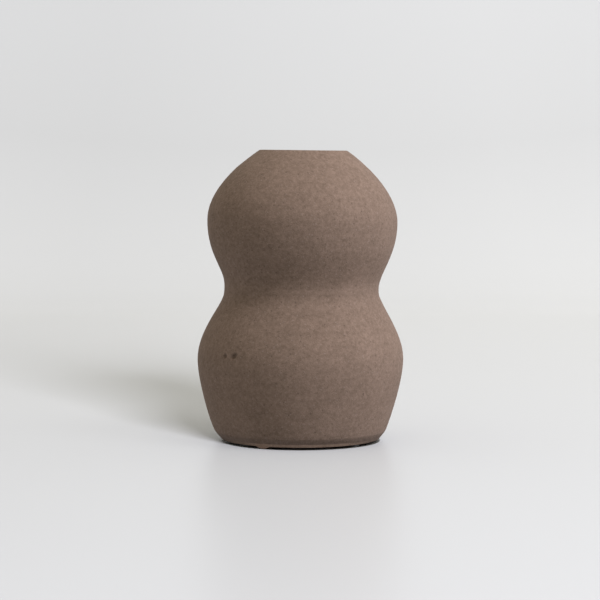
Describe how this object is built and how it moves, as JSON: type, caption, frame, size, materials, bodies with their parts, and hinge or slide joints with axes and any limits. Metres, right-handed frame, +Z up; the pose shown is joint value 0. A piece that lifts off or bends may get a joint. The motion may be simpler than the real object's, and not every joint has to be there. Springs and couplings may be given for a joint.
{
  "type": "double-gourd vase",
  "caption": "Squat double-gourd flower vase in rough unglazed brown stoneware, pinched at the waist, with a flat-cut mouth, a glazed inside and soft bumpers under its turned foot.",
  "frame": {"origin": "on the table, under the centre of the foot", "axes": "+Z up along the lower section's throwing axis, +X to the right of the front view, the front faces -Y"},
  "size_m": [0.1136, 0.1136, 0.1607],
  "materials": {
    "stoneware": "bare fired clay, matte and sandy",
    "slip": "fired slip, matte",
    "liner_glaze": "clear gloss glaze over dark clay",
    "bumper": "soft matte"
  },
  "bodies": {
    "root": {"lower_section": "stoneware", "upper_section": "stoneware", "luting_slip": "slip", "liner_glaze": "liner_glaze", "foot_bumper_1": "bumper", "foot_bumper_2": "bumper", "foot_bumper_3": "bumper", "foot_bumper_4": "bumper"}
  },
  "joints": []
}
